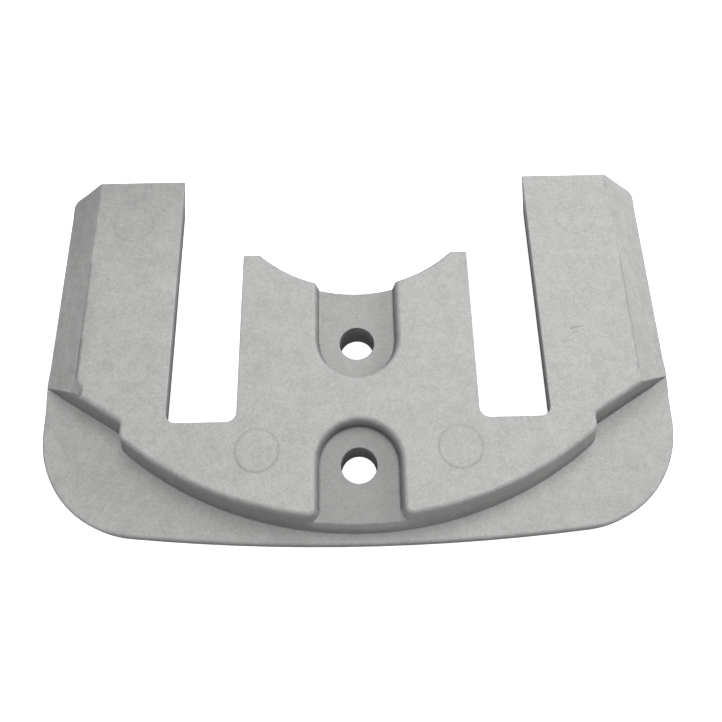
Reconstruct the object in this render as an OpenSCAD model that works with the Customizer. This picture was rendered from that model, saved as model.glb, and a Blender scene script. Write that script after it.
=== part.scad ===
// Bolt-on sacrificial anode, die-cast in one piece.
// A flat pad carries two long legs with bevelled outer sides and a centre tongue with a round scoop.
// In front of the pad a thinner lip slopes down and away, behind a curved, drafted step wall.
// Two bolt pockets lie on the centre line: one opens into the scoop, one through the step wall.
// Millimetres. +X is to the right, +Y towards the far ends of the legs, +Z up from the underside.
// The origin is midway between the two bolt holes, on the flat underside.

/* [Overall] */
// Height of the pad's top face above the underside
pad_h = 12.5; // [11:0.5:16]
// Width over the bevelled sides
overall_w = 151; // [146:1:160]
// From the origin to the far ends of the legs
leg_reach = 60.8; // [56:0.2:70]
// From the origin to the front edge of the lip
front_reach = 32.3; // [31.5:0.1:40]
// Draft angle of the cast walls
draft = 12; // [6:1:13]

/* [Legs] */
// Distance between the two creases where the pad turns into the side bevels
crease_w = 132.4; // [126:0.2:140]
// Height of the outer edge, where a bevel ends
edge_h = 5.5; // [4.5:0.5:8]
// Distance between the inner faces of the legs, at the top
leg_gap = 88.4; // [80:0.2:96]
// Corner radius at a leg's far outer corner
leg_corner_r = 2; // [1:0.5:6]

/* [Tongue and slots] */
// Width of the tongue between the slots, at the top
tongue_w = 56.2; // [50:0.2:62]
// From the origin to the tongue's far shoulders
tongue_reach = 38.3; // [35:0.1:42]
// Radius of the scoop in the tongue's end
scoop_r = 34.4; // [32:0.2:40]
// From the origin to the deepest point of the scoop
scoop_reach = 28.8; // [26:0.1:31]
// How far the slots run past the origin towards the lip
slot_back = 5.3; // [2:0.1:7]
// Corner radius at the closed end of a slot, at the top
slot_corner_r = 2.3; // [1:0.1:5]

/* [Step wall] */
// Radius of the curved middle part of the step
arc_r = 86.6; // [84:0.2:100]
// From the origin to the front of the curve, at the top
arc_reach = 27.7; // [26:0.1:28]
// Distance between the two jogs that end the curve
jog_gap = 109; // [104:0.5:114]
// How far a shoulder wall starts in front of the origin, at its jog
shoulder_reach = 4.8; // [4:0.1:6]
// Angle of the shoulder walls, seen from above
shoulder_angle = 31.4; // [29:0.2:34]
// Radius of the outer corner of a jog, at the top
jog_corner_r = 1.8; // [1:0.1:2.5]
// Radius of the fillet in the inner corner of a jog
jog_fillet_r = 1.2; // [0.6:0.1:1.8]

/* [Lip] */
// How far the lip's top face lies below the outer edge, where the lip starts
lip_step = 0.2; // [0.1:0.1:1.5]
// Downward slope of the lip's top face towards the front
lip_slope = 3.4; // [1:0.1:4.5]
// Radius of the lip's bowed front edge
lip_front_r = 500; // [300:10:900]
// Radius of the lip's front corners
lip_corner_r = 25; // [18:0.5:30]

/* [Bolt pockets] */
// Distance between the two bolt holes
bolt_spacing = 30.4; // [28:0.2:33]
// Diameter of a bolt hole
bolt_hole_d = 8.4; // [6:0.1:10]
// Width of a pocket at the top
pocket_w = 20; // [17:0.2:22]
// Depth of a pocket below the pad
pocket_depth = 4; // [2:0.5:6]
// Radius of the pad's corners beside the front pocket's mouth
mouth_corner_r = 1.5; // [0.8:0.1:2.5]

/* [Ejector marks] */
// Outer diameter of the ring that an ejector pin left
mark_d = 10.4; // [8:0.2:12]
// Width of the ring
mark_ring_w = 0.5; // [0.3:0.1:1]
// Depth of the ring
mark_depth = 0.15; // [0.1:0.05:0.3]
// Distance between the two marks beside the front pocket
front_mark_gap = 46; // [40:0.5:52]
// How far those two lie in front of the origin
front_mark_reach = 12.3; // [11:0.1:14]
// Distance between the two marks on the legs
leg_mark_gap = 113; // [109:0.5:116]
// From the origin to the marks on the legs
leg_mark_reach = 47.9; // [30:0.1:50]

/* [Hidden] */
$fn = 180;
fn_wide = 720;
// Cutting tools run past the solid by this much
past = 1;
half_w = overall_w / 2;
crease_x = crease_w / 2;
jog_x = jog_gap / 2;
lean = tan(draft);
pad_run = pad_h * lean;
pocket_run = pocket_depth * lean;
floor_h = pad_h - pocket_depth;
bolt_y = bolt_spacing / 2;
arc_y = arc_r - arc_reach;
bevel_drop = pad_h - edge_h;
lip_h = edge_h - lip_step;
// Where a shoulder wall runs out at the outer edge, and the lip's slope starts
lip_start_y = (half_w - jog_x) * tan(shoulder_angle) - shoulder_reach
    - bevel_drop * lean / cos(shoulder_angle);

// A block from behind "far" to a bowed front with round corners.
// Its front and sides lean out by "run" from the top to the bottom.
module bowed_block(half, front, bow_r, corner_r, far, h, run) {
    bow_y = bow_r - front;
    corner_x = half - corner_r;
    corner_y = bow_y - sqrt(pow(bow_r - corner_r, 2) - pow(corner_x, 2));
    spread = 2 * (bow_r + run) / (bow_r - corner_r);
    intersection() {
        translate([0, bow_y, 0])
            cylinder(r1 = bow_r + run, r2 = bow_r, h = h, $fn = fn_wide);
        linear_extrude(h)
            polygon([
                [corner_x, corner_y],
                [-corner_x, corner_y],
                [-spread * corner_x, bow_y - spread * (bow_y - corner_y)],
                [spread * corner_x, bow_y - spread * (bow_y - corner_y)]
            ]);
    }
    for (side = [-1, 1])
        translate([side * corner_x, corner_y, 0])
            cylinder(r1 = corner_r + run, r2 = corner_r, h = h);
    translate([0, far, 0])
        rotate([90, 0, 0])
            linear_extrude(far - corner_y)
                polygon([[-half - run, 0], [half + run, 0], [half, h], [-half, h]]);
}

// A cut-out that is open towards +Y, with a closed end and round corners.
// Its walls lean by "run_low" at the bottom and "run_high" at the top.
module open_slot(x_low, x_high, end, far, corner_r, z, h, run_low, run_high) {
    translate([0, 0, z]) {
        for (x = [x_low + corner_r, x_high - corner_r])
            translate([x, end + corner_r, 0])
                cylinder(r1 = corner_r + run_low, r2 = corner_r + run_high, h = h);
        translate([0, far, 0])
            rotate([90, 0, 0])
                linear_extrude(far - end - corner_r)
                    polygon([
                        [x_low - run_low, 0], [x_high + run_low, 0],
                        [x_high + run_high, h], [x_low - run_high, h]
                    ]);
        if (x_high - x_low > 2 * corner_r)
            translate([x_low + corner_r, 0, 0])
                rotate([90, 0, 90])
                    linear_extrude(x_high - x_low - 2 * corner_r)
                        polygon([
                            [end - run_low, 0], [end + 2 * corner_r, 0],
                            [end + 2 * corner_r, h], [end - run_high, h]
                        ]);
    }
}

// The pad behind one shoulder wall, from the middle part out to the side.
module shoulder() {
    inner_x = jog_x - 3 * pad_run;
    intersection() {
        translate([inner_x, -front_reach, 0])
            cube([half_w - inner_x, front_reach + leg_reach, pad_h]);
        translate([jog_x, -shoulder_reach, pad_h])
            rotate([0, 0, shoulder_angle])
                rotate([-draft, 0, 0])
                    translate([-overall_w, 0, -overall_w])
                        cube([2 * overall_w, overall_w, 2 * overall_w]);
    }
}

// Fillet in the inner corner of a jog: both walls lean, so its axis leans with them.
// The axis lies a little closer to the walls than the radius, so the fillet sinks into both.
module jog_fillet() {
    corner = [jog_x, -shoulder_reach, pad_h];
    jog_out = [cos(draft), 0, sin(draft)];
    wall_out = [sin(shoulder_angle) * cos(draft), -cos(shoulder_angle) * cos(draft), sin(draft)];
    along = cross(jog_out, wall_out) / norm(cross(jog_out, wall_out));
    up = along[2] > 0 ? along : -along;
    sink = 0.98;
    axis = (jog_out + wall_out) * sink * jog_fillet_r / (1 + jog_out * wall_out);
    turn = atan2(up[1], up[0]);
    tilt = acos(up[2]);
    flat_x = [cos(tilt) * cos(turn), cos(tilt) * sin(turn), -sin(tilt)];
    flat_y = [-sin(turn), cos(turn), 0];
    into = 2 * jog_fillet_r;
    translate(corner + axis)
        rotate([0, tilt, turn])
            translate([0, 0, -2 * pad_h])
                difference() {
                    linear_extrude(3 * pad_h)
                        polygon([
                            [0, 0],
                            [-into * jog_out * flat_x, -into * jog_out * flat_y],
                            [-2 * axis * flat_x, -2 * axis * flat_y],
                            [-into * wall_out * flat_x, -into * wall_out * flat_y]
                        ]);
                    translate([0, 0, -past])
                        cylinder(r = jog_fillet_r, h = 3 * pad_h + 2 * past, $fn = 96);
                }
}

// Section across the legs: flat pad, a bevel down each side and an upright outer edge.
module leg_section() {
    polygon([
        [-half_w, 0], [half_w, 0], [half_w, edge_h],
        [crease_x, pad_h], [-crease_x, pad_h], [-half_w, edge_h]
    ]);
}

// The raised pad with its legs, before the cut-outs.
module pad() {
    intersection() {
        union() {
            bowed_block(jog_x, arc_reach, arc_r, jog_corner_r, leg_reach, pad_h, pad_run);
            for (side = [0, 1])
                mirror([side, 0, 0]) {
                    shoulder();
                    jog_fillet();
                }
        }
        translate([0, leg_reach, 0])
            rotate([90, 0, 0])
                linear_extrude(leg_reach + front_reach)
                    leg_section();
        translate([-half_w, 0, 0])
            rotate([90, 0, 90])
                linear_extrude(overall_w)
                    polygon([
                        [-front_reach, 0], [leg_reach - pad_run, 0],
                        [leg_reach, pad_h], [-front_reach, pad_h]
                    ]);
    }
}

// The lip: the plan outline, cut to the slope. It runs on a little way under the pad.
module lip() {
    under = 3 * leg_corner_r;
    difference() {
        bowed_block(half_w, front_reach, lip_front_r, lip_corner_r, lip_start_y + under, lip_h, 0);
        translate([-half_w - past, lip_start_y, lip_h])
            rotate([lip_slope, 0, 0])
                translate([0, -2 * front_reach, 0])
                    cube([overall_w + 2 * past, 2 * front_reach, pad_h]);
    }
}

// What rounds off a leg's far outer corner.
module leg_corner() {
    center_x = half_w - leg_corner_r;
    center_y = leg_reach - edge_h * lean - leg_corner_r;
    difference() {
        translate([center_x, center_y, -past])
            cube([leg_corner_r + past, leg_reach, pad_h + 2 * past]);
        translate([center_x, center_y, -2 * past])
            cylinder(r = leg_corner_r, h = pad_h + 4 * past);
    }
}

// The two slots beside the tongue and the gap between the legs beyond it.
module leg_gap_cut() {
    far = leg_reach + past;
    for (side = [0, 1])
        mirror([side, 0, 0])
            open_slot(tongue_w / 2, leg_gap / 2, -slot_back, far, slot_corner_r, 0, pad_h, pad_run, 0);
    translate([0, far, 0])
        rotate([90, 0, 0])
            linear_extrude(far - leg_reach + past)
                polygon([
                    [-leg_gap / 2 - pad_run, 0], [leg_gap / 2 + pad_run, 0],
                    [leg_gap / 2, pad_h], [-leg_gap / 2, pad_h]
                ]);
    translate([-leg_gap / 2, 0, 0])
        rotate([90, 0, 90])
            linear_extrude(leg_gap)
                polygon([
                    [tongue_reach - pad_run, 0], [far, 0],
                    [far, pad_h], [tongue_reach, pad_h]
                ]);
    translate([0, scoop_reach + scoop_r, -past])
        cylinder(r = scoop_r, h = pad_h + 2 * past, $fn = 360);
}

// A pocket round one bolt hole, open towards +Y.
module pocket(far) {
    open_slot(
        -pocket_w / 2, pocket_w / 2, -pocket_w / 2, far, pocket_w / 2,
        floor_h, pocket_depth, -pocket_run, 0
    );
}

// What rounds off a corner of the pad beside the front pocket's mouth.
module mouth_corner() {
    center_x = pocket_w / 2 + mouth_corner_r;
    center_y = arc_y - sqrt(pow(arc_r - mouth_corner_r, 2) - pow(center_x, 2));
    reach = 2 * mouth_corner_r + pocket_run;
    out_x = center_x / (arc_r - mouth_corner_r);
    out_y = (center_y - arc_y) / (arc_r - mouth_corner_r);
    difference() {
        translate([0, 0, floor_h])
            linear_extrude(pocket_depth + past)
                polygon([
                    [center_x, center_y],
                    [center_x - reach, center_y],
                    [center_x - reach, center_y - reach],
                    [center_x + reach * out_x, center_y + reach * out_y]
                ]);
        translate([center_x, center_y, floor_h])
            cylinder(r1 = mouth_corner_r + pocket_run, r2 = mouth_corner_r, h = pocket_depth);
    }
}

// The two bolt pockets and the holes through their floors.
module bolt_cuts() {
    translate([0, bolt_y, 0])
        pocket(tongue_reach);
    translate([0, -bolt_y, 0])
        rotate([0, 0, 180])
            pocket(front_reach);
    for (side = [0, 1])
        mirror([side, 0, 0])
            mouth_corner();
    for (y = [-bolt_y, bolt_y])
        translate([0, y, -past])
            cylinder(d = bolt_hole_d, h = pad_h + 2 * past);
}

// One ring groove that an ejector pin left in the pad.
module ejector_mark() {
    translate([0, 0, pad_h - mark_depth])
        difference() {
            cylinder(d = mark_d, h = mark_depth + past, $fn = 96);
            translate([0, 0, -past])
                cylinder(d = mark_d - 2 * mark_ring_w, h = mark_depth + 3 * past, $fn = 96);
        }
}

module anode() {
    color("silver")
        difference() {
            union() {
                pad();
                lip();
            }
            for (side = [0, 1])
                mirror([side, 0, 0])
                    leg_corner();
            leg_gap_cut();
            bolt_cuts();
            for (side = [-1, 1]) {
                translate([side * front_mark_gap / 2, -front_mark_reach, 0])
                    ejector_mark();
                translate([side * leg_mark_gap / 2, leg_mark_reach, 0])
                    ejector_mark();
            }
        }
}

anode();
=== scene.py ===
# %% [markdown]
# # A die-cast sacrificial anode
# The part is one casting: a flat pad with two legs, a tongue between them and a thinner lip
# in front. The CAD model has its exact form. This script gives it what a mould and a few years
# on a shelf give it: rounded edges, a broken corner, the rings of the ejector pins, small pits
# and a dull, mottled cast skin.
#
# The CAD model is loaded first and stays the reference for every place and size. It is in
# metres, with the origin midway between the two bolt holes on the flat underside.

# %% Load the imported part
import math

import bmesh
import bpy
from mathutils import Matrix, Vector
from mathutils.geometry import intersect_point_line


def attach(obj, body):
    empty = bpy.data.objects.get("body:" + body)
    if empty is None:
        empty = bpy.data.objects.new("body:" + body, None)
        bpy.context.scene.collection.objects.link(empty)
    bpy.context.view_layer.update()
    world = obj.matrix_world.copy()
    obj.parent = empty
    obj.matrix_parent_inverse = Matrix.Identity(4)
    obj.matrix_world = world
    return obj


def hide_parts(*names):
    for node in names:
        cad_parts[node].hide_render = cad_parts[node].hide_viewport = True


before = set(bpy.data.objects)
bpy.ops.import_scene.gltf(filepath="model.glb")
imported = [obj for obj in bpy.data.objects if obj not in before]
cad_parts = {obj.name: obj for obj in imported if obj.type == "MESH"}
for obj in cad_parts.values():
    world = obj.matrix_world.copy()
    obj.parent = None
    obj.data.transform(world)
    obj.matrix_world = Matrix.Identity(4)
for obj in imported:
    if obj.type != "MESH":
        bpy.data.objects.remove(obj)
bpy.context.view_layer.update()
cad_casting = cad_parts["anode"]
MM = 0.001

# %% [markdown]
# ## The camera
# The photograph looks down on the part from the front, about 22 degrees off the vertical and
# quite near. A near camera with a short lens makes the legs converge towards their far ends,
# so the lens and the distance both matter, not only the angle. The values come from fitting a
# camera to the part's edges in the photograph.

# %% Place the camera
CAMERA_PLACE = Vector((0.137, -56.088, 171.959)) * MM
CAMERA_TILT = math.radians(22.182)
CAMERA_SWAY = math.radians(-0.260)
CAMERA_ROLL = math.radians(-1.132)
CAMERA_LENS = 36.357
CAMERA_SENSOR = 36

camera_data = bpy.data.cameras.new("camera")
camera_data.sensor_width = CAMERA_SENSOR
camera_data.lens = CAMERA_LENS
camera_data.clip_start = 0.01
camera = bpy.data.objects.new("camera", camera_data)
camera.matrix_world = (
    Matrix.Translation(CAMERA_PLACE)
    @ Matrix.Rotation(CAMERA_TILT, 4, "X")
    @ Matrix.Rotation(CAMERA_SWAY, 4, "Y")
    @ Matrix.Rotation(CAMERA_ROLL, 4, "Z")
)
bpy.context.scene.collection.objects.link(camera)
bpy.context.scene.camera = camera
print("camera", round(CAMERA_PLACE.z / MM), "mm above the underside, lens", CAMERA_LENS)

# %% [markdown]
# ## Floor and light
# The part lies on a plain pale floor. The main lamps stand behind it and low at its right, so
# the left bevel and the walls that face the camera turn darker than the pad, and the right
# bevel stays as light. A weak lamp in front and an even, pale surrounding fill the shadows.
# Larger lamps would wash out the step wall, and smaller ones would draw hard shadows. The
# camera sees the floor paler than it lights the part, as on a light table, so slots and holes
# look open. A light path node in the floor's own paint tells the two apart.

# %% Floor and its paint
FLOOR_HALF = 4.0
FLOOR_COLOUR = (0.93, 0.93, 0.93, 1)
FLOOR_BOUNCE = (0.4, 0.4, 0.4, 1)
FLOOR_GLOW = 0.8


def add(tree, kind, sockets, **settings):
    """Adds a node. A socket gets a link when its value is another socket, else the value."""
    node = tree.nodes.new(kind)
    for setting, value in settings.items():
        setattr(node, setting, value)
    for socket, value in sockets.items():
        if isinstance(value, bpy.types.NodeSocket):
            tree.links.new(value, node.inputs[socket])
        else:
            node.inputs[socket].default_value = value
    return node


bpy.context.scene.view_settings.view_transform = "Standard"

floor_mesh = bpy.data.meshes.new("floor")
floor_mesh.from_pydata(
    [(-FLOOR_HALF, -FLOOR_HALF, 0), (FLOOR_HALF, -FLOOR_HALF, 0),
     (FLOOR_HALF, FLOOR_HALF, 0), (-FLOOR_HALF, FLOOR_HALF, 0)],
    [], [(0, 1, 2, 3)],
)
floor = bpy.data.objects.new("floor", floor_mesh)
bpy.context.scene.collection.objects.link(floor)

floor_paint = bpy.data.materials.new("floor_paint")
floor_paint.use_nodes = True
floor_tree = floor_paint.node_tree
floor_shader = floor_tree.nodes["Principled BSDF"]
seen = add(floor_tree, "ShaderNodeLightPath", {})
floor_tone = add(floor_tree, "ShaderNodeMix", {
    "Factor": seen.outputs["Is Camera Ray"], "A": FLOOR_BOUNCE, "B": FLOOR_COLOUR},
    data_type="RGBA")
glow = add(floor_tree, "ShaderNodeMath", {0: seen.outputs["Is Camera Ray"], 1: FLOOR_GLOW},
           operation="MULTIPLY")
floor_tree.links.new(floor_tone.outputs["Result"], floor_shader.inputs["Base Color"])
floor_tree.links.new(glow.outputs[0], floor_shader.inputs["Emission Strength"])
floor_shader.inputs["Emission Color"].default_value = (1, 1, 1, 1)
floor_shader.inputs["Roughness"].default_value = 0.9
floor_mesh.materials.append(floor_paint)
print("floor:", 2 * FLOOR_HALF, "m wide, at the height of the underside")

# %% Lamps and surroundings
LAMP_SIZE = 0.26
LAMPS = {
    "lamp_behind": ((60, 200, 470), 1.00),
    "lamp_at_the_right": ((500, 250, 300), 1.25),
    "lamp_in_front": ((0, -100, 500), 0.54),
}
SURROUND_STRENGTH = 0.405

for name, (place, power) in LAMPS.items():
    lamp_data = bpy.data.lights.new(name, "AREA")
    lamp_data.shape = "DISK"
    lamp_data.size = LAMP_SIZE
    lamp_data.energy = power
    lamp = bpy.data.objects.new(name, lamp_data)
    spot = Vector(place) * MM
    aim = spot.to_track_quat("Z", "Y").to_matrix().to_4x4()
    lamp.matrix_world = Matrix.Translation(spot) @ aim
    bpy.context.scene.collection.objects.link(lamp)

surround = bpy.data.worlds.new("surround")
surround.use_nodes = True
surround.node_tree.nodes["Background"].inputs["Color"].default_value = (1, 1, 1, 1)
surround.node_tree.nodes["Background"].inputs["Strength"].default_value = SURROUND_STRENGTH
bpy.context.scene.world = surround
print(len(LAMPS), "lamps,", LAMP_SIZE, "m wide")

# %% [markdown]
# ## One closed mesh
# The real part is one solid casting. Its CAD node is stored as loose triangles, which no
# modifier can round. It could be modelled again by hand, but a copy keeps every size exact. The
# copy is welded, its flat triangles are joined to whole faces, and the square grooves of the
# ejector rings are closed, because they are cut again later with a round section. Edges of
# about a tenth of a millimetre are closed up too, or the roundings would cross there. Points
# that this draws a little below the pad go back to its height. The CAD node itself stays as it
# is.

# %% Weld a copy of the casting
WELD = 0.012 * MM
SHORT = 0.14 * MM
FLAT = math.radians(0.6)
PAD_H = 12.5 * MM
RING_OUTER = 5.2 * MM
RING_NEAR = 0.05 * MM
RING_BELOW = 0.5 * MM
RING_SPOTS = [(-23.0, -12.3), (23.0, -12.3), (-56.5, 47.9), (56.5, 47.9)]


def inside_ring(vertex):
    """Whether a vertex belongs to one of the square ring grooves or to the disc in it."""
    return vertex.co.z > PAD_H - RING_BELOW and any(
        math.hypot(vertex.co.x - x * MM, vertex.co.y - y * MM) < RING_OUTER + RING_NEAR
        for x, y in RING_SPOTS
    )


shape = bmesh.new()
shape.from_mesh(cad_casting.data)
bmesh.ops.remove_doubles(shape, verts=shape.verts, dist=WELD)
ring_faces = [face for face in shape.faces if all(inside_ring(v) for v in face.verts)]
bmesh.ops.delete(shape, geom=ring_faces, context="FACES")
bmesh.ops.holes_fill(shape, edges=[e for e in shape.edges if e.is_boundary], sides=0)
bmesh.ops.dissolve_limit(
    shape, angle_limit=FLAT, verts=shape.verts, edges=shape.edges, use_dissolve_boundaries=False
)
bmesh.ops.remove_doubles(shape, verts=shape.verts, dist=SHORT)
for vertex in shape.verts:
    if PAD_H - SHORT < vertex.co.z < PAD_H:
        vertex.co.z = PAD_H
bmesh.ops.recalc_face_normals(shape, faces=shape.faces)
open_edges = sum(1 for edge in shape.edges if len(edge.link_faces) != 2)
print("welded:", len(shape.faces), "faces,", open_edges, "open edges,",
      round(shape.calc_volume() / MM ** 3), "cubic mm")

# %% [markdown]
# ## Rounded edges
# A mould leaves no sharp edge: most outer edges come out rounded by a few tenths of a
# millimetre, and inner corners are filled by a small fillet. The rims of the lip, the step wall
# and the pockets are rounded by most of a millimetre, and the rim of the left shoulder wall is
# worn to a whole one. One bevel of a single width would be quicker, but would look like a toy.
# The Bevel modifier can take its width from a weight on every edge, so each edge gets its
# radius in millimetres as its weight, by where it lies and which way it bends.
#
# Where a wall or a bevel runs out to nothing, the radius fades with it, or the roundings would
# cross. The edges there are split into short pieces, so that the width changes by small steps.

# %% Give each edge its radius
SHARP = math.radians(30)
SLIVER = 0.001 * MM ** 2
LEG_CORNER_X = 74.5 * MM
LIP_TOP = 5.6 * MM
CREASE_X = 66.2 * MM
WORN_X = -54.8 * MM
TONGUE_SIDE_X = 27.9 * MM
TONGUE_END_Y = 38.2 * MM
SLOT_X = 44.3 * MM
SLOT_Y = -5.5 * MM
RUN_OUT_Y = 6.26 * MM
HOLE_R = 4.2 * MM
HOLE_Y = 15.2 * MM
NEARLY = 0.1 * MM
UPRIGHT = 0.7
RADII = {
    "hole": 0.2, "hollow": 0.25, "lip rim": 0.8, "leg's low edge": 0.5, "crease": 0.5,
    "worn rim": 1.0, "pad rim": 0.85, "other": 0.35,
}
FADES = {
    "shoulder wall's end": ((75.5, 6.26, 5.4), 5.0),
    "front pocket's mouth": ((11.82, -27.75, 8.5), 4.0),
    "leg's far corner": ((74.3, 59.2, 5.6), 4.0),
}
FADE_STEP = 0.5 * MM
LONG = 12 * MM
fades = [
    (Vector((side * x, y, z)) * MM, reach * MM)
    for (x, y, z), reach in FADES.values() for side in (-1, 1)
]
weight = shape.edges.layers.float.new("bevel_weight_edge")


def fade_at(point):
    """The share of its radius that an edge keeps at a point: none on a fade's spot."""
    return min(min(1, (point - spot).length / reach) for spot, reach in fades)


def edge_radius(edge):
    """The radius of one edge in millimetres."""
    if edge.calc_face_angle(0) < SHARP:
        return 0
    middle = (edge.verts[0].co + edge.verts[1].co) / 2
    if middle.z < NEARLY or min(face.calc_area() for face in edge.link_faces) < SLIVER:
        return 0
    steep = abs(edge.verts[0].co.z - edge.verts[1].co.z) > UPRIGHT * edge.calc_length()
    if steep and abs(middle.x) > LEG_CORNER_X:
        return 0
    if min(math.hypot(middle.x, middle.y - y) for y in (-HOLE_Y, HOLE_Y)) < HOLE_R + NEARLY:
        return RADII["hole"]
    if not edge.is_convex:
        return RADII["hollow"]
    if middle.z < LIP_TOP:
        return RADII["lip rim" if middle.y < RUN_OUT_Y else "leg's low edge"]
    if abs(abs(middle.x) - CREASE_X) < NEARLY:
        return RADII["crease"]
    at_pad = middle.z > PAD_H - NEARLY
    if at_pad and -CREASE_X < middle.x < WORN_X and middle.y < RUN_OUT_Y:
        return RADII["worn rim"]
    at_slot = TONGUE_SIDE_X < abs(middle.x) < SLOT_X and middle.y > SLOT_Y
    if at_pad and not at_slot and middle.y < TONGUE_END_Y:
        return RADII["pad rim"]
    return RADII["other"]


def in_a_fade(edge):
    """Whether any point of an edge lies within the reach of a fade."""
    first, last = (vertex.co for vertex in edge.verts)
    for spot, reach in fades:
        share = min(max(intersect_point_line(spot, first, last)[1], 0), 1)
        if (first.lerp(last, share) - spot).length < reach:
            return True
    return False


to_split = [edge for edge in shape.edges if edge_radius(edge)]
while to_split:
    edge = to_split.pop()
    if edge.calc_length() > 2 * FADE_STEP and in_a_fade(edge):
        to_split += [edge, bmesh.utils.edge_split(edge, edge.verts[0], 0.5)[0]]
for edge in shape.edges:
    edge[weight] = edge_radius(edge) * min(fade_at(v.co) for v in edge.verts) ** 2
radii = sorted({round(edge[weight], 2) for edge in shape.edges if edge.calc_length() > LONG})
rounded = sum(1 for edge in shape.edges if edge[weight])
print(rounded, "edges rounded, radii of the long ones:", radii)

# %% Round the edges
ROUND_SEGMENTS = 3


def apply_modifiers(piece):
    """Turns what the modifiers make of a piece into its plain mesh."""
    graph = bpy.context.evaluated_depsgraph_get()
    made = bpy.data.meshes.new_from_object(piece.evaluated_get(graph))
    piece.modifiers.clear()
    piece.data = made


casting_mesh = bpy.data.meshes.new("anode_casting")
shape.to_mesh(casting_mesh)
shape.free()
casting = bpy.data.objects.new("anode_casting", casting_mesh)
bpy.context.scene.collection.objects.link(casting)

rounding = casting.modifiers.new("rounding", "BEVEL")
rounding.limit_method = "WEIGHT"
rounding.width = 1 * MM
rounding.segments = ROUND_SEGMENTS
rounding.use_clamp_overlap = False
apply_modifiers(casting)
print("rounded casting:", len(casting.data.polygons), "faces")

# %% [markdown]
# ## Patterns for the cast skin
# The skin of the real part is dull and mottled: it froze against a coated steel mould, and
# blotches from a few tenths of a millimetre to a few millimetres are all about equally strong.
# An image of metal would do for one view, but it stretches over walls and bevels. Noise in
# three dimensions has no seams, and it follows the object's own coordinates, so it stays on the
# metal wherever the part goes.
#
# Three node groups make the patterns: the grain that both metals share, a line for scratches,
# specks, creases and patches, and a ring for the dirt and painted shade in an ejector mark. A ring
# is painted darker on its low side, as shade where the light doesn't reach into it.

# %% Grain group
BLOTCH_SCALE = 210
GRAIN_SCALE = 2600


def new_tree(name, kind, inputs, outputs):
    """A node tree with named inputs and outputs, and the sockets inside it."""
    tree = bpy.data.node_groups.new(name, kind)
    for label, socket in inputs.items():
        tree.interface.new_socket(label, in_out="INPUT", socket_type="NodeSocket" + socket)
    for label, socket in outputs.items():
        tree.interface.new_socket(label, in_out="OUTPUT", socket_type="NodeSocket" + socket)
    return tree, tree.nodes.new("NodeGroupInput").outputs, tree.nodes.new("NodeGroupOutput").inputs


grain, into, out = new_tree(
    "cast_grain", "ShaderNodeTree", {"Position": "Vector"},
    {"Blotches": "Float", "Grain": "Float"},
)
blotches = add(grain, "ShaderNodeTexNoise", {
    "Vector": into["Position"], "Scale": BLOTCH_SCALE, "Detail": 5, "Roughness": 1.0,
    "Distortion": 0.2})
fine = add(grain, "ShaderNodeTexNoise", {
    "Vector": into["Position"], "Scale": GRAIN_SCALE, "Detail": 1.5, "Roughness": 0.7})
grain.links.new(blotches.outputs["Fac"], out["Blotches"])
grain.links.new(fine.outputs["Fac"], out["Grain"])
print("group:", grain.name)

# %% Line group
WOBBLE = 0.5 * MM
WOBBLE_SCALE = 350

line, into, out = new_tree(
    "line_mark", "ShaderNodeTree",
    {"Position": "Vector", "Start": "Vector", "End": "Vector", "Half Width": "Float"},
    {"Mask": "Float"},
)
wobble = add(line, "ShaderNodeTexNoise", {
    "Vector": into["Position"], "Scale": WOBBLE_SCALE, "Detail": 2})
offset = add(line, "ShaderNodeVectorMath", {0: wobble.outputs["Color"], 1: (0.5, 0.5, 0.5)},
             operation="SUBTRACT")
bent = add(line, "ShaderNodeVectorMath", {
    0: offset.outputs[0], 1: (WOBBLE, WOBBLE, 0), 2: into["Position"]},
    operation="MULTIPLY_ADD")
along = add(line, "ShaderNodeVectorMath", {0: into["End"], 1: into["Start"]},
            operation="SUBTRACT")
reach = add(line, "ShaderNodeVectorMath", {0: bent.outputs[0], 1: into["Start"]},
            operation="SUBTRACT")
upper = add(line, "ShaderNodeVectorMath", {0: reach.outputs[0], 1: along.outputs[0]},
            operation="DOT_PRODUCT")
lower = add(line, "ShaderNodeVectorMath", {0: along.outputs[0], 1: along.outputs[0]},
            operation="DOT_PRODUCT")
share = add(line, "ShaderNodeMath", {0: upper.outputs["Value"], 1: lower.outputs["Value"]},
            operation="DIVIDE", use_clamp=True)
nearest = add(line, "ShaderNodeVectorMath", {0: along.outputs[0], "Scale": share.outputs[0]},
              operation="SCALE")
gap = add(line, "ShaderNodeVectorMath", {0: reach.outputs[0], 1: nearest.outputs[0]},
          operation="DISTANCE")
fade_out = add(line, "ShaderNodeMapRange", {
    "Value": gap.outputs["Value"], "From Min": 0.0, "From Max": into["Half Width"],
    "To Min": 1.0, "To Max": 0.0}, interpolation_type="SMOOTHSTEP")
line.links.new(fade_out.outputs[0], out["Mask"])
print("group:", line.name)

# %% Ring group
RING_R = 4.95 * MM
RING_BAND = 0.5 * MM
RING_SHADED_SIDE = (-0.45, -0.89, 0)
RING_LIT_SIDE_SHARE = 0.55

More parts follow.
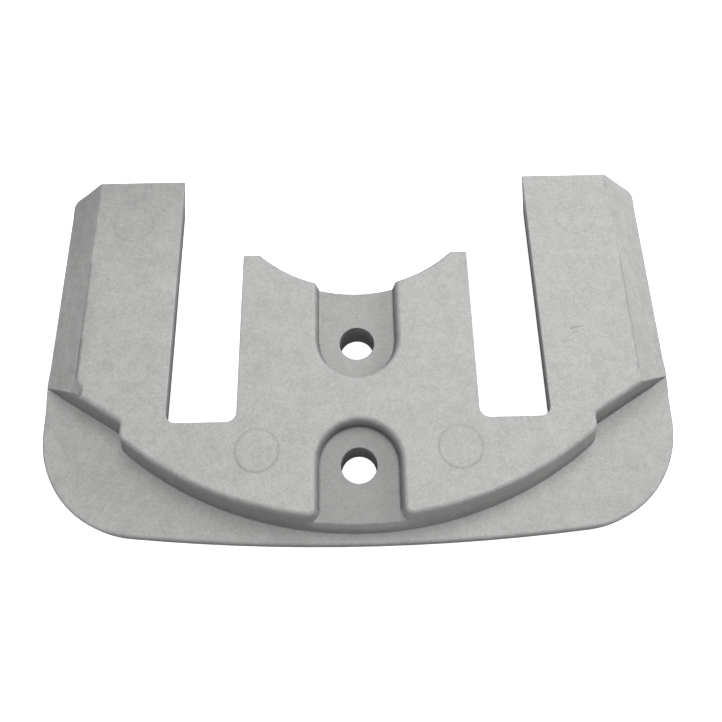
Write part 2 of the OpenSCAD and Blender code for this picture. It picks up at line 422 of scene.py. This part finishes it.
ring, into, out = new_tree(
    "ring_dirt_and_shade", "ShaderNodeTree", {"Position": "Vector", "Centre": "Vector"}, {"Mask": "Float"})
arm = add(ring, "ShaderNodeVectorMath", {0: into["Position"], 1: into["Centre"]},
          operation="SUBTRACT")
arm_length = add(ring, "ShaderNodeVectorMath", {0: arm.outputs[0]}, operation="LENGTH")
off_ring = add(ring, "ShaderNodeMath", {0: arm_length.outputs["Value"], 1: RING_R},
               operation="SUBTRACT")
off_ring = add(ring, "ShaderNodeMath", {0: off_ring.outputs[0]}, operation="ABSOLUTE")
on_ring = add(ring, "ShaderNodeMapRange", {
    "Value": off_ring.outputs[0], "From Min": 0.0, "From Max": RING_BAND,
    "To Min": 1.0, "To Max": 0.0})
# Painted shade: the ring is darker towards its shaded side.
arm_way = add(ring, "ShaderNodeVectorMath", {0: arm.outputs[0]}, operation="NORMALIZE")
low_side = add(ring, "ShaderNodeVectorMath", {0: arm_way.outputs[0], 1: RING_SHADED_SIDE},
               operation="DOT_PRODUCT")
shaded_side = add(ring, "ShaderNodeMapRange", {
    "Value": low_side.outputs["Value"], "From Min": -1.0, "From Max": 1.0,
    "To Min": RING_LIT_SIDE_SHARE, "To Max": 1.0})
ring_dirt_and_shade_mask = add(ring, "ShaderNodeMath", {0: on_ring.outputs[0], 1: shaded_side.outputs[0]},
                operation="MULTIPLY")
ring.links.new(ring_dirt_and_shade_mask.outputs[0], out["Mask"])
print("group:", ring.name)

# %% [markdown]
# ## Where the marks are
# The photograph shows short scratches on the right leg, a thin dark line along both creases,
# a few specks and some dirt at the far corner of the right leg. The crease lines, a band beside
# the left crease, patches on the lip at the foot of the walls and the far end of the left leg get
# painted shade, and the left of the lip gets painted light. Drawn lines with soft sides make all
# of them, so each can be moved alone. Each mark has a start and an end in millimetres from the
# midpoint between the bolt holes, a half width and a strength. A speck is a very short line, a
# patch a very wide one. Positive strengths are dark. A mark on the lip also has a height, the
# others lie on the pad.

# %% List the marks
MARKS = {
    "long scratch": ((51.5, 16.3), (54.1, 16.9), 0.30, 0.38),
    "short scratch": ((51.8, 15.1), (53.2, 15.5), 0.28, 0.27),
    "faint scratch": ((48.8, 12.8), (51.7, 13.6), 0.32, 0.20),
    "speck on the right leg": ((50.0, 11.4), (51.2, 11.5), 0.40, 0.20),
    "speck by the right crease": ((62.1, 17.7), (62.2, 17.6), 0.55, 0.13),
    "upper speck by the crease": ((61.9, 24.4), (61.9, 24.5), 0.55, 0.08),
    "speck in the middle": ((31.8, -11.8), (31.9, -11.8), 0.40, 0.15),
    "speck on the lip": ((46.5, -24.7), (46.6, -24.7), 0.40, 0.15),
    "second speck on the lip": ((44.3, -22.6), (44.4, -22.6), 0.35, 0.12),
    "dirt at the far corner": ((65.7, 59.6), (66.1, 56.3), 0.45, 0.20),
    "speck at the slot": ((43.9, 60.3), (44.2, 60.0), 0.70, 0.16),
    "worn nick, light": ((-45.5, 7.9), (-45.0, 8.0), 0.40, -0.12),
    "shadowy mark on the left leg": ((-59.3, 18.9), (-59.1, 18.4), 0.45, 0.12),
    # Painted shade over the far end of the left leg.
    "painted shade on the far end of the left leg": ((-82.0, 64.0), (-52.0, 64.0), 34.0, 0.17),
    # Painted shade along both creases and in a band beside the left one.
    "left crease": ((-66.2, 60.5), (-66.2, 5.8), 0.30, 0.16),
    "left crease, lower half": ((-66.0, 36.0), (-65.9, 5.8), 0.80, 0.26),
    "left crease, near end": ((-65.95, 16.0), (-65.9, 5.8), 0.60, 0.20),
    "painted shade band by the left crease": ((-64.9, 36.0), (-64.9, 5.5), 2.0, 0.08),
    "right crease": ((66.3, 60.5), (66.3, 3.5), 0.40, 0.07),
    "right crease, middle": ((66.35, 54.0), (66.3, 6.0), 0.50, 0.08),
    "right crease, lower half": ((66.35, 36.0), (66.3, 6.0), 0.60, 0.18),
    # Painted shade on the lip at the foot of the walls; the last patch is painted light on the
    # left of the lip.
    "painted shade on the lip by the right shoulder": ((57.5, -7.5), (74.0, 3.8), 5.0, 0.17),
    "painted shade on the lip by the left shoulder": ((-57.5, -7.5), (-74.0, 3.8), 3.0, 0.07),
    "painted shade on the lip by the right arc": ((25.0, -24.7), (52.5, -12.5), 3.5, 0.10),
    "painted light on the left of the lip": ((-68.0, -8.0), (-54.0, -22.0), 10.0, -0.07),
}
MARK_H = {
    "speck on the lip": 4.0, "second speck on the lip": 4.3, "painted shade on the lip by the right shoulder": 4.9,
    "painted shade on the lip by the left shoulder": 4.9, "painted shade on the lip by the right arc": 4.1,
    "painted light on the left of the lip": 4.5,
}
print(len(MARKS), "marks,", sum(1 for *_, strength in MARKS.values() if strength > 0), "dark")

# %% [markdown]
# ## A metal with the shared grain
# The cast skin and the broken metal differ only in tone and in how rough they are, so one
# function makes both. Noise moves the colour between a dark and a light grey, makes the surface
# a little more or less rough, and stands out as fine relief. The metal is only partly
# metallic, because its oxide skin is dull: a fully metallic grey would mirror the lamps.

# %% Metal with the shared grain
GRAIN_SHARE = 0.35
TONE_FROM = 0.405
TONE_TO = 0.595
SMOOTHEST = 0.62
ROUGHEST = 0.80
METALLIC = 0.3


def skin(name, dark, light, bump):
    """A metal with the shared grain: the material, its shader, coordinates and colour."""
    metal = bpy.data.materials.new(name)
    metal.use_nodes = True
    tree = metal.node_tree
    shader = tree.nodes["Principled BSDF"]
    place = add(tree, "ShaderNodeTexCoord", {})
    mottle = add(tree, "ShaderNodeGroup", {"Position": place.outputs["Object"]}, node_tree=grain)
    tone = add(tree, "ShaderNodeMix", {
        0: GRAIN_SHARE, "A": mottle.outputs["Blotches"], "B": mottle.outputs["Grain"]},
        data_type="FLOAT")
    spread = add(tree, "ShaderNodeMapRange", {
        "Value": tone.outputs[0], "From Min": TONE_FROM, "From Max": TONE_TO})
    colour = add(tree, "ShaderNodeMix", {
        "Factor": spread.outputs[0], "A": dark, "B": light}, data_type="RGBA")
    rough = add(tree, "ShaderNodeMapRange", {
        "Value": mottle.outputs["Blotches"], "From Min": 0.3, "From Max": 0.7,
        "To Min": SMOOTHEST, "To Max": ROUGHEST})
    tree.links.new(rough.outputs[0], shader.inputs["Roughness"])
    shader.inputs["Metallic"].default_value = METALLIC
    relief = add(tree, "ShaderNodeBump", {
        "Height": tone.outputs[0], "Strength": 1.0, "Distance": bump})
    tree.links.new(relief.outputs[0], shader.inputs["Normal"])
    return metal, shader, place, colour.outputs["Result"]


CAST_DARK = (0.395, 0.393, 0.388, 1)
CAST_LIGHT = (0.525, 0.523, 0.517, 1)
CAST_RELIEF = 0.035 * MM

cast_metal, cast_shader, place, cast_colour = skin(
    "cast_metal", CAST_DARK, CAST_LIGHT, CAST_RELIEF)
cast_tree = cast_metal.node_tree
print("cast metal:", len(cast_tree.nodes), "nodes so far")

# %% Broken metal
BROKEN_DARK = (0.30, 0.30, 0.295, 1)
BROKEN_LIGHT = (0.37, 0.37, 0.365, 1)
BROKEN_RELIEF = 0.06 * MM

broken_metal, broken_shader, _, broken_colour = skin(
    "broken_metal", BROKEN_DARK, BROKEN_LIGHT, BROKEN_RELIEF)
broken_metal.node_tree.links.new(broken_colour, broken_shader.inputs["Base Color"])
print("broken metal:", len(broken_metal.node_tree.nodes), "nodes")

# %% [markdown]
# ## Dirt and painted shade
# Dirt sits in the scratches and specks, and dirt with painted shade in the ejector rings. Steep
# walls, their feet and the inner corners are darkened as painted shade, the pocket floors are
# painted darker, and the rims stay bright. All this could be painted by hand on an image, but
# masks built from the shape can be measured and changed. Each mask is a share from 0 to 1, is
# multiplied by a strength, and all are added up to one share of near-black colour. A negative
# strength is a place painted lighter than its neighbours.

# %% Dirt and painted shade in marks and rings
RING_STRENGTHS = (0.27, 0.23, 0.12, 0.08)
ON_PAD = 12.5
dirt_and_shade = []

for name, (start, end, half_width, strength) in MARKS.items():
    height = MARK_H.get(name, ON_PAD)
    mark = add(cast_tree, "ShaderNodeGroup", {
        "Position": place.outputs["Object"], "Start": Vector((*start, height)) * MM,
        "End": Vector((*end, height)) * MM, "Half Width": half_width * MM}, node_tree=line)
    dirt_and_shade.append((mark.outputs["Mask"], strength))
for spot, strength in zip(RING_SPOTS, RING_STRENGTHS):
    mark = add(cast_tree, "ShaderNodeGroup", {
        "Position": place.outputs["Object"], "Centre": Vector((*spot, ON_PAD)) * MM},
        node_tree=ring)
    dirt_and_shade.append((mark.outputs["Mask"], strength))
print(len(dirt_and_shade), "masks of marks and rings")

# %% [markdown]
# ## Masks by place and direction
# A point's place says whether it lies in a slot, in a pocket or under the lip's top face, and
# its normal says whether it is on a wall or a floor. A few small functions turn such tests into
# nodes.
#
# The slot walls render darker than the photograph's even without painted shade, so they get none
# near their upper edge. They lean outwards and leave the band that is tested on their way down,
# so painted shade starts again about halfway down or lower, at a line that shows only from
# behind. The step wall itself gets less painted shade below the front pocket's mouth and on its
# right half, and so does the lip's outer rim.

# %% Where a point lies
SLOT_MID_X = 35.75 * MM
SLOT_REACH = 9.75 * MM
SLOT_NEAR_Y = -7.0 * MM
POCKET_HALF = 10.2 * MM
POCKET_FLOOR_H = 8.5 * MM
FLOOR_SLACK = 0.05 * MM
MOUTH_Y = -25.5 * MM
LIP_SLOPE = 0.0594
LIP_H_AT_HOLES = 5.0 * MM
STEEP = (0.62, 0.3)


def calculate(operation, *values):
    """One step of arithmetic on sockets and numbers."""
    step = add(cast_tree, "ShaderNodeMath", dict(enumerate(values)), operation=operation)
    return step.outputs[0]


def ramp(value, start, end, least=0.0):
    """A share that grows from the least to 1 while the value goes from start to end."""
    return add(cast_tree, "ShaderNodeMapRange", {
        "Value": value, "From Min": start, "From Max": end, "To Min": least}).outputs[0]


def every(first, *others):
    """The product of masks: 1 only where all of them are 1."""
    for other in others:
        first = calculate("MULTIPLY", first, other)
    return first


def outside(mask):
    """The opposite of a mask."""
    return calculate("SUBTRACT", 1.0, mask)


where = add(cast_tree, "ShaderNodeSeparateXYZ", {0: place.outputs["Object"]}).outputs
facing = add(cast_tree, "ShaderNodeSeparateXYZ", {0: place.outputs["Normal"]}).outputs
off_centre = calculate("ABSOLUTE", where["X"])
steep = ramp(facing["Z"], *STEEP)
in_slot = every(calculate("COMPARE", off_centre, SLOT_MID_X, SLOT_REACH),
                calculate("GREATER_THAN", where["Y"], SLOT_NEAR_Y))
behind_mouth = calculate("GREATER_THAN", where["Y"], MOUTH_Y)
in_pocket = every(calculate("LESS_THAN", off_centre, POCKET_HALF), behind_mouth)
above_floor = calculate("GREATER_THAN", where["Z"], POCKET_FLOOR_H + FLOOR_SLACK)
lip_height = calculate("MULTIPLY_ADD", where["Y"], LIP_SLOPE, LIP_H_AT_HOLES)
under_lip = calculate("LESS_THAN", where["Z"], lip_height)
print("cast metal:", len(cast_tree.nodes), "nodes so far")

# %% Painted shade on the walls
WALL_SHADE, WALL_RAMP = 0.35, (12.4 * MM, 9.6 * MM)
FOOT_SHADE, FOOT_RAMP = 0.12, (8.0 * MM, 4.5 * MM)
POCKET_WALL_SHADE, POCKET_RAMP = 0.42, (11.4 * MM, 8.9 * MM)
FACES_FRONT, FACES_BACK_SHARE = (-0.1, -0.9), 0.5

# Painted shade: steep walls darker, most at their foot, and the pocket's back wall most where it
# faces the front.
shaded_wall = every(steep, outside(in_slot))
wall = every(shaded_wall, ramp(where["Z"], *WALL_RAMP))
foot = every(shaded_wall, ramp(where["Z"], *FOOT_RAMP))
pocket_wall = every(steep, in_pocket, above_floor, ramp(where["Z"], *POCKET_RAMP),
                    ramp(facing["Y"], *FACES_FRONT, FACES_BACK_SHARE))
dirt_and_shade += [(wall, WALL_SHADE), (foot, FOOT_SHADE), (pocket_wall, POCKET_WALL_SHADE)]
print("painted shade on walls:", WALL_SHADE, "at their feet", WALL_SHADE + FOOT_SHADE)

# %% Less painted shade on some walls
LESS_SHADE_BELOW_MOUTH, BELOW_MOUTH_RAMP, MOUTH_RAMP = -0.40, (4.2 * MM, 8.0 * MM), (12.5 * MM, 9.0 * MM)
LESS_SHADE_ON_RIM, LEG_RAMP = -0.30, (6 * MM, 0.0)
LESS_SHADE_ON_RIGHT_STEP, RIGHT_RAMP, JOG_RAMP = -0.20, (-20 * MM, 10 * MM), (58 * MM, 54 * MM)
STEP_Y = -9 * MM

# Negative strengths take painted shade back off the step wall below the mouth, off the lip's rim
# and off the step's right half.
below_mouth = every(steep, ramp(off_centre, *MOUTH_RAMP), ramp(where["Z"], *BELOW_MOUTH_RAMP),
                    outside(behind_mouth), outside(above_floor))
lip_rim = every(wall, under_lip, ramp(where["Y"], *LEG_RAMP), outside(in_pocket))
right_step = every(wall, outside(under_lip), ramp(where["X"], *RIGHT_RAMP),
                   ramp(where["X"], *JOG_RAMP), calculate("LESS_THAN", where["Y"], STEP_Y),
                   outside(in_pocket))
dirt_and_shade += [(below_mouth, LESS_SHADE_BELOW_MOUTH), (lip_rim, LESS_SHADE_ON_RIM), (right_step, LESS_SHADE_ON_RIGHT_STEP)]
print("less painted shade below the mouth by", -LESS_SHADE_BELOW_MOUTH, "on the rim by", -LESS_SHADE_ON_RIM)

# %% Darker pocket floors, painted shade in crevices, and the finished skin
POCKET_FLOOR_DARKENING, FLOOR_NEARLY, LOOKS_UP = 0.14, 0.1 * MM, (0.7, 0.95)
FRONT_FLOOR_DARKENING, NEAR_RAMP = 0.14, (0.0, -10 * MM)
CREVICE_SHADE = 0.35
DIRT_AND_SHADE_DARK = (0.03, 0.03, 0.03, 1)

# The pocket floors are painted darker, more towards the front.
pocket_floor = every(calculate("COMPARE", where["Z"], POCKET_FLOOR_H, FLOOR_NEARLY),
                     ramp(facing["Z"], *LOOKS_UP))
near_floor = every(pocket_floor, ramp(where["Y"], *NEAR_RAMP))
# The faces marked as crevices get painted shade.
crevice = add(cast_tree, "ShaderNodeAttribute", {}, attribute_name="crevice").outputs["Fac"]
dirt_and_shade += [(pocket_floor, POCKET_FLOOR_DARKENING), (near_floor, FRONT_FLOOR_DARKENING), (crevice, CREVICE_SHADE)]

# All masks add dirt and painted shade up into one share of near-black colour.
total = 0.0
for mask, strength in dirt_and_shade:
    total = calculate("MULTIPLY_ADD", mask, strength, total)
dirty_and_shaded = add(cast_tree, "ShaderNodeMix", {"Factor": total, "A": cast_colour, "B": DIRT_AND_SHADE_DARK},
            data_type="RGBA", clamp_factor=True)
cast_tree.links.new(dirty_and_shaded.outputs["Result"], cast_shader.inputs["Base Color"])
casting.data.materials.clear()
casting.data.materials.append(cast_metal)
print(len(dirt_and_shade), "masks, cast metal:", len(cast_tree.nodes), "nodes")

# %% [markdown]
# ## The broken corner
# A piece has broken off where the left crease meets the shoulder wall. The break is a flat
# scoop, steep at the pad and shallow towards the bevel. It could be sculpted, but a cutter with
# few flat sides leaves the crisp facets of broken metal and can be placed by points. It is the
# convex hull of points on the pad's side of the break, points at its depth, and the same points
# raised. The cut faces take the broken metal from the cutter.

# %% Break the corner
BREAK_EDGE = [(-65.9, 6.1, 12.52), (-65.3, 5.3, 12.52), (-64.3, 4.5, 12.52),
              (-63.85, 3.7, 12.52), (-64.1, 2.8, 12.52), (-64.2, 0.8, 12.52)]
BREAK_FLOOR = [(-64.9, 3.6, 12.0), (-65.2, 2.4, 11.85), (-65.2, 1.0, 11.8)]
BREAK_SIDE = [(-66.4, 5.2, 12.3), (-66.9, 3.6, 11.9), (-67.0, 2.2, 11.75)]
BREAK_RISE = 3.0


def new_piece(name, vertices):
    """An object at the origin with the given vertices, in metres."""
    mesh = bpy.data.meshes.new(name)
    mesh.from_pydata(vertices, [], [])
    piece = bpy.data.objects.new(name, mesh)
    bpy.context.scene.collection.objects.link(piece)
    return piece


def cut(piece, cutter):
    """Takes a closed cutter out of a piece. The cut faces keep the cutter's material."""
    modifier = piece.modifiers.new("cut", "BOOLEAN")
    modifier.operation = "DIFFERENCE"
    modifier.solver = "EXACT"
    modifier.material_mode = "TRANSFER"
    modifier.object = cutter
    apply_modifiers(piece)
    bpy.data.objects.remove(cutter)


def hull(name, points, material):
    """A closed piece: the convex hull of the points, in millimetres."""
    shell = bmesh.new()
    for point in points:
        shell.verts.new(Vector(point) * MM)
    result = bmesh.ops.convex_hull(shell, input=shell.verts)
    inner = {item for item in result["geom_interior"] + result["geom_unused"]
             if isinstance(item, bmesh.types.BMVert)}
    bmesh.ops.delete(shell, geom=list(inner), context="VERTS")
    bmesh.ops.recalc_face_normals(shell, faces=shell.faces)
    piece = new_piece(name, [])
    shell.to_mesh(piece.data)
    shell.free()
    piece.data.materials.append(material)
    return piece


raised = [(x, y, z + BREAK_RISE) for x, y, z in BREAK_EDGE + BREAK_SIDE]
nearest_points = (BREAK_EDGE[-1], BREAK_FLOOR[-1], BREAK_SIDE[-1])
forward = [(x, y - BREAK_RISE, z + rise) for x, y, z in nearest_points for rise in (0, BREAK_RISE)]
break_points = BREAK_EDGE + BREAK_FLOOR + BREAK_SIDE + raised + forward
cut(casting, hull("break_cutter", break_points, broken_metal))
print("with the break:", len(casting.data.polygons), "faces")

# %% [markdown]
# ## Ejector rings
# Four pins pushed the casting out of the mould, and each left a shallow ring round its end.
# A dark ring drawn on the pad would look right from above, but not in a low light. One ring
# repeats at four places, so geometry nodes make it: a wire bent to a ring, placed on each point
# and tilted a little, because a pin never stands quite square. The wires are thick and lie
# nearly above the pad, so what they cut out of it are wide, shallow grooves.

# %% Cut the ejector rings
RING_WIRE = 1.0 * MM
RING_LIFTS = (0.975, 0.978, 0.990, 0.992)
RING_TILT = math.radians(0.05)
RING_SEED = 4
RING_SIDES = 96
WIRE_SIDES = 72


def grow(piece, tree, values):
    """Turns what a tree of geometry nodes makes of a piece into the piece's plain mesh."""
    modifier = piece.modifiers.new(tree.name, "NODES")
    modifier.node_group = tree
    for item in tree.interface.items_tree:
        if item.item_type == "SOCKET" and item.in_out == "INPUT" and item.name in values:
            modifier[item.identifier] = values[item.name]
    apply_modifiers(piece)


rings, into, out = new_tree(
    "ejector_rings", "GeometryNodeTree",
    {"Geometry": "Geometry", "Ring Radius": "Float", "Wire Radius": "Float", "Tilt": "Float",
     "Seed": "Int", "Material": "Material"},
    {"Geometry": "Geometry"},
)
path = add(rings, "GeometryNodeCurvePrimitiveCircle", {
    "Resolution": RING_SIDES, "Radius": into["Ring Radius"]})
wire = add(rings, "GeometryNodeCurvePrimitiveCircle", {
    "Resolution": WIRE_SIDES, "Radius": into["Wire Radius"]})
bent_wire = add(rings, "GeometryNodeCurveToMesh", {
    "Curve": path.outputs["Curve"], "Profile Curve": wire.outputs["Curve"]})
down = add(rings, "ShaderNodeMath", {0: into["Tilt"], 1: -1.0}, operation="MULTIPLY")
most = add(rings, "ShaderNodeCombineXYZ", {0: into["Tilt"], 1: into["Tilt"]})
least = add(rings, "ShaderNodeCombineXYZ", {0: down.outputs[0], 1: down.outputs[0]})
tilt = add(rings, "FunctionNodeRandomValue", {
    "Min": least.outputs[0], "Max": most.outputs[0], "Seed": into["Seed"]},
    data_type="FLOAT_VECTOR")
placed = add(rings, "GeometryNodeInstanceOnPoints", {
    "Points": into["Geometry"], "Instance": bent_wire.outputs["Mesh"],
    "Rotation": tilt.outputs["Value"]})
real = add(rings, "GeometryNodeRealizeInstances", {"Geometry": placed.outputs["Instances"]})
coated = add(rings, "GeometryNodeSetMaterial", {
    "Geometry": real.outputs["Geometry"], "Material": into["Material"]})
rings.links.new(coated.outputs["Geometry"], out["Geometry"])

ring_cutter = new_piece("ring_cutter", [
    (x * MM, y * MM, PAD_H + lift * MM) for (x, y), lift in zip(RING_SPOTS, RING_LIFTS)])
grow(ring_cutter, rings, {
    "Ring Radius": RING_R, "Wire Radius": RING_WIRE, "Tilt": RING_TILT, "Seed": RING_SEED,
    "Material": cast_metal})
cut(casting, ring_cutter)
print("with the rings:", len(casting.data.polygons), "faces")

# %% [markdown]
# ## Pits
# A few gas bubbles broke through the skin and left pits of a few tenths of a millimetre. Bump
# alone would vanish in a low light, so they are cut. Geometry nodes scatter small balls over
# the faces that look up, with a fixed seed, and lift each by the same share of its radius.

# %% Cut the pits
PIT_DENSITY = 6000
PIT_LEAST = 0.10 * MM
PIT_MOST = 0.26 * MM
PIT_LIFT = 0.55
PIT_SEED = 11
PIT_SEGMENTS = 10
PIT_RINGS = 6
LEVEL = 0.99

pits, into, out = new_tree(
    "cast_pits", "GeometryNodeTree",
    {"Geometry": "Geometry", "Density": "Float", "Least Radius": "Float",
     "Largest Radius": "Float", "Lift": "Float", "Seed": "Int", "Material": "Material"},
    {"Geometry": "Geometry"},
)
normal = add(pits, "GeometryNodeInputNormal", {})
up = add(pits, "ShaderNodeSeparateXYZ", {0: normal.outputs[0]})
level = add(pits, "FunctionNodeCompare", {"A": up.outputs["Z"], "B": LEVEL},
            data_type="FLOAT", operation="GREATER_THAN")
spread = add(pits, "GeometryNodeDistributePointsOnFaces", {
    "Mesh": into["Geometry"], "Selection": level.outputs[0], "Density": into["Density"],
    "Seed": into["Seed"]})
size = add(pits, "FunctionNodeRandomValue", {
    "Min": into["Least Radius"], "Max": into["Largest Radius"], "Seed": into["Seed"]},
    data_type="FLOAT")
lift = add(pits, "ShaderNodeMath", {0: size.outputs[1], 1: into["Lift"]}, operation="MULTIPLY")
rise = add(pits, "ShaderNodeCombineXYZ", {2: lift.outputs[0]})
raised_points = add(pits, "GeometryNodeSetPosition", {
    "Geometry": spread.outputs["Points"], "Offset": rise.outputs[0]})
bubble = add(pits, "GeometryNodeMeshUVSphere", {
    "Segments": PIT_SEGMENTS, "Rings": PIT_RINGS, "Radius": 1.0})
placed = add(pits, "GeometryNodeInstanceOnPoints", {
    "Points": raised_points.outputs["Geometry"], "Instance": bubble.outputs["Mesh"],
    "Scale": size.outputs[1]})
real = add(pits, "GeometryNodeRealizeInstances", {"Geometry": placed.outputs["Instances"]})
coated = add(pits, "GeometryNodeSetMaterial", {
    "Geometry": real.outputs["Geometry"], "Material": into["Material"]})
pits.links.new(coated.outputs["Geometry"], out["Geometry"])

pit_cutter = new_piece("pit_cutter", [])
pit_cutter.data = casting.data.copy()
grow(pit_cutter, pits, {
    "Density": PIT_DENSITY, "Least Radius": PIT_LEAST, "Largest Radius": PIT_MOST,
    "Lift": PIT_LIFT, "Seed": PIT_SEED, "Material": cast_metal})
print("pits:", len(pit_cutter.data.polygons) // (PIT_SEGMENTS * PIT_RINGS))
cut(casting, pit_cutter)
print("with the pits:", len(casting.data.polygons), "faces")

# %% [markdown]
# ## Crevices and smooth shading
# The fillets at the foot of each wall get painted shade. A fillet face meets all its neighbours at
# a hollow angle, so such faces get the attribute that the metal reads. Measuring the angle once is
# steadier than a pointiness node, which depends on how fine the mesh is. Then the normals are
# weighted by area: flat faces stay flat and only the roundings shade softly.

# %% Mark the crevices and shade
HOLLOW = math.radians(8)
CREVICE_AREA = 8 * MM ** 2
CREVICE_TOP = 12.2 * MM
TINY = 0.0002 * MM
FILLET_UP = 0.3
SHADE_SHARP = math.radians(40)

shape = bmesh.new()
shape.from_mesh(casting.data)
bmesh.ops.remove_doubles(shape, verts=shape.verts, dist=TINY)
bmesh.ops.dissolve_degenerate(shape, edges=shape.edges, dist=TINY)
mask = shape.faces.layers.float.new("crevice")
for face in shape.faces:
    bends = [edge for edge in face.edges if edge.calc_face_angle(0) > HOLLOW]
    hollow = bends and not any(edge.is_convex for edge in bends)
    low = face.calc_center_median().z < CREVICE_TOP and face.normal.z > FILLET_UP
    face[mask] = 1.0 if hollow and low and face.calc_area() < CREVICE_AREA else 0.0
print("crevice faces:", sum(1 for face in shape.faces if face[mask]), "open edges:",
      sum(1 for edge in shape.edges if len(edge.link_faces) != 2))
shape.to_mesh(casting.data)
shape.free()

casting.data.set_sharp_from_angle(angle=SHADE_SHARP)
for face in casting.data.polygons:
    face.use_smooth = True
shading = casting.modifiers.new("shading", "WEIGHTED_NORMAL")
shading.keep_sharp = True
apply_modifiers(casting)
print("finished casting:", len(casting.data.polygons), "faces")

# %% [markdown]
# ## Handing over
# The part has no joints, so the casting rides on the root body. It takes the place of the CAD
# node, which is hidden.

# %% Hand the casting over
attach(casting, "root")
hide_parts("anode")
